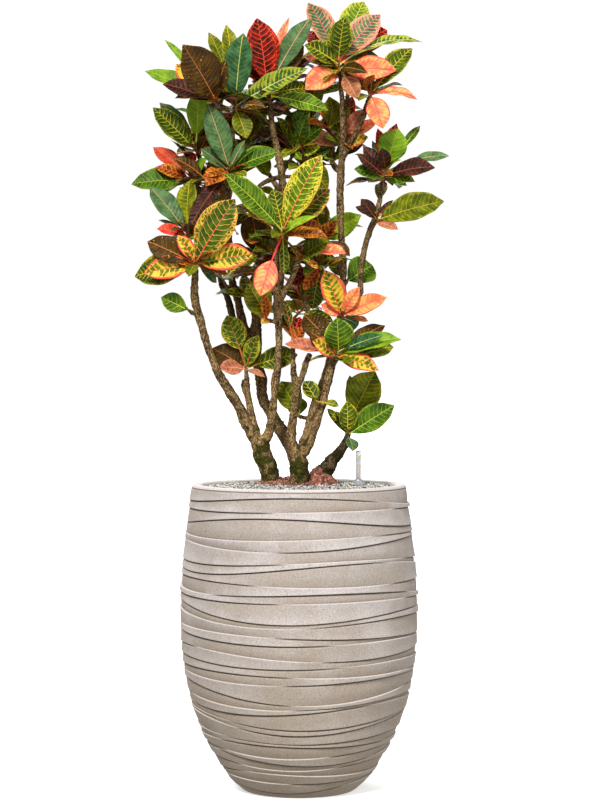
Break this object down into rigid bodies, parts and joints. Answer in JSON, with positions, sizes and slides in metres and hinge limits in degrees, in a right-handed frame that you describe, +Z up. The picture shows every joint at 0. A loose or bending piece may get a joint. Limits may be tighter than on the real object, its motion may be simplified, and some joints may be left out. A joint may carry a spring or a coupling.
{
  "type": "potted plant",
  "caption": "Croton with bare forked trunks and rosettes of patterned leaves, in a tall round stone pot with wavy bands, with mineral granulate on top and a water gauge.",
  "frame": {"origin": "centre of the pot's flat foot, at floor level", "axes": "+Z up, +X to the right and +Y away from the one who looks at the side with the water gauge"},
  "size_m": [0.6365, 0.4778, 1.585],
  "materials": {
    "pot_stone": "cast stone with a fine sandy grain, matt",
    "mineral_granulate": "loose grains, white to dark brown, matt",
    "soil": "reddish-brown potting soil with perlite, matt",
    "gauge_clear": "clear to milky plastic, smooth",
    "gauge_red": "red plastic, smooth",
    "bark": "fissured grey-tan bark with dark mottling and moss",
    "leaf_bronze": "brown leaf with orange veins, leathery, semi-gloss",
    "leaf_coral": "salmon-orange leaf, leathery, semi-gloss",
    "leaf_coral_edge": "yellow leaf with green patches and a coral margin, leathery, semi-gloss",
    "leaf_ember": "red-orange leaf with near-black patches, leathery, semi-gloss",
    "leaf_gold_rib": "very dark green leaf with yellow ribs, leathery, semi-gloss",
    "leaf_green": "mid-green leaf with yellow veins, leathery, semi-gloss",
    "leaf_grey": "matt grey-green leaf, leathery, semi-gloss",
    "leaf_lime": "yellow-green leaf, leathery, semi-gloss",
    "leaf_olive": "olive leaf with gold veins, leathery, semi-gloss",
    "leaf_plum": "very dark brown leaf, leathery, semi-gloss",
    "leaf_rose_net": "dark green leaf with broad yellow veins and a pink rib, leathery, semi-gloss",
    "leaf_rust": "orange-brown mottled leaf, leathery, semi-gloss",
    "leaf_teal": "blue-green leaf with a cream rib, leathery, semi-gloss"
  },
  "bodies": {
    "root": {"pot": "pot_stone", "granulate": "mineral_granulate", "root_ball": "soil", "gauge_collar": "gauge_clear", "gauge_tube": "gauge_clear", "gauge_float": "gauge_red", "trunk_left": "bark", "trunk_back": "bark", "trunk_middle": "bark", "trunk_right": "bark", "leaves_crown_right": "leaf_lime", "leaves_crown_fork": "leaf_olive", "leaves_crown_side": "leaf_coral", "leaves_crown_middle": "leaf_ember", "leaves_crown_left": "leaf_teal", "leaves_upper_left": "leaf_bronze", "leaves_far_left_upper": "leaf_lime", "leaves_far_left": "leaf_lime", "leaves_left_star": "leaf_grey", "leaves_outer_top": "leaf_lime", "leaves_outer_star": "leaf_rose_net", "leaves_single_leaf": "leaf_green", "leaves_middle_star": "leaf_rose_net", "leaves_middle_back": "leaf_olive", "leaves_right_arm_star": "leaf_olive", "leaves_brown_star": "leaf_gold_rib", "leaves_coral_star": "leaf_coral_edge", "leaves_low_right_star": "leaf_gold_rib", "leaves_middle_low": "leaf_ember", "leaves_inner_star": "leaf_rose_net", "leaves_side_leaves": "leaf_rust", "leaves_right_end": "leaf_grey", "leaves_right_node": "leaf_gold_rib", "leaves_front_side": "leaf_gold_rib", "leaves_low_back": "leaf_olive", "leaves_right_star": "leaf_lime", "leaves_right_side": "leaf_plum", "leaves_right_behind": "leaf_gold_rib", "leaves_back_far": "leaf_green", "leaves_back_crown": "leaf_olive", "leaves_back_right": "leaf_olive", "leaves_back_top": "leaf_ember", "leaves_back_middle": "leaf_olive", "leaves_back_high": "leaf_green", "leaves_back_left": "leaf_rose_net", "leaves_back_low": "leaf_gold_rib", "leaves_back_low_right": "leaf_gold_rib", "leaves_back_centre": "leaf_teal", "leaves_inner_high": "leaf_green", "leaves_inner_left": "leaf_bronze"}
  },
  "joints": []
}
